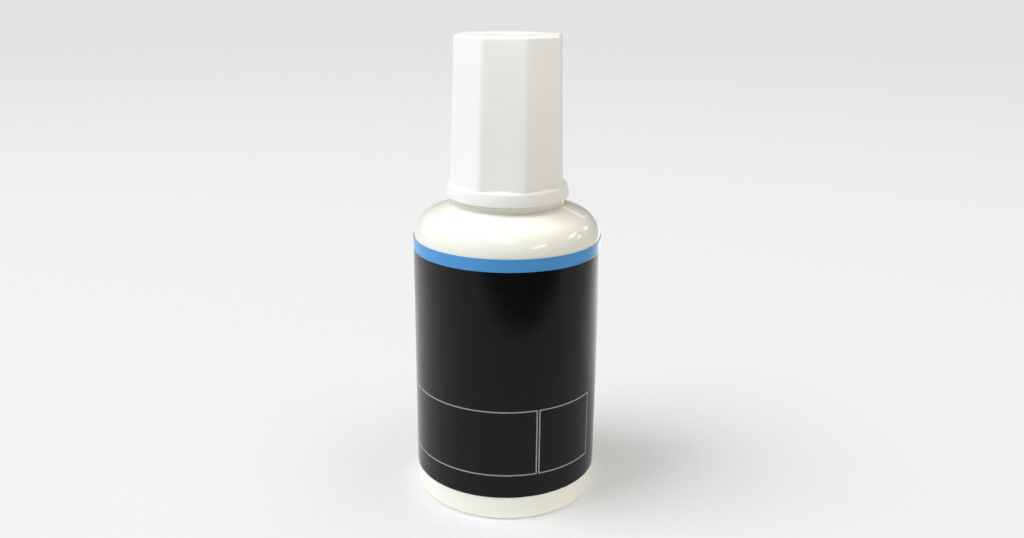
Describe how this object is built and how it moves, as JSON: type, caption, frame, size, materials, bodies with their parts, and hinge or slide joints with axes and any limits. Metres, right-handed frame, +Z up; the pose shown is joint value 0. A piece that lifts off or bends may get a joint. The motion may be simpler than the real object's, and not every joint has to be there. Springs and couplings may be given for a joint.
{
  "type": "correction fluid bottle",
  "caption": "Small round bottle of correction fluid with a wrap-round label and a tapering eight-sided screw cap that carries the brush.",
  "frame": {"origin": "centre of the ring that the bottle stands on, on the surface below it", "axes": "+Z up the bottle's axis towards the cap; the front of the label faces -Y"},
  "size_m": [0.029, 0.029, 0.0722],
  "materials": {
    "bottle_plastic": "glossy ivory polyethylene",
    "label_film": "satin dark printed film with a blue band",
    "fluid_white": "opaque wet white",
    "ball_steel": "polished steel",
    "wiper_plastic": "natural polyethylene",
    "washer_foam": "closed-cell foam",
    "stem_plastic": "smooth moulded white",
    "bristle_nylon": "natural nylon filament",
    "anchor_brass": "stamped plate",
    "cap_plastic": "satin white polypropylene"
  },
  "bodies": {
    "bottle": {"bottle": "bottle_plastic", "label": "label_film", "correction_fluid": "fluid_white", "neck_wiper": "wiper_plastic"},
    "seal": {"seal_washer": "washer_foam"},
    "brush": {"brush_stem": "stem_plastic", "bristles": "bristle_nylon", "bristle_anchor": "anchor_brass"},
    "cap": {"cap": "cap_plastic"},
    "mixing_ball": {"mixing_ball": "ball_steel"}
  },
  "joints": [
    {"name": "cap_lift", "type": "slide", "parent": "bottle", "child": "seal", "axis": [0, 0, 1], "range_m": [0, 0.062]},
    {"name": "thread_rise", "type": "slide", "parent": "seal", "child": "brush", "axis": [0, 0, 1], "range_m": [0, 0.0032]},
    {"name": "cap_turn", "type": "hinge", "parent": "brush", "child": "cap", "pos_m": [0, 0, 0.0485], "axis": [0, 0, 1], "range_deg": [0, 540]},
    {"name": "ball_shake", "type": "slide", "parent": "bottle", "child": "mixing_ball", "axis": [0, 0, 1], "range_m": [0, 0.0375], "deforming": ["correction_fluid"]}
  ],
  "couplings": [
    {"joint": "thread_rise", "follows": "cap_turn", "m_per_rad": 0.00033741}
  ]
}
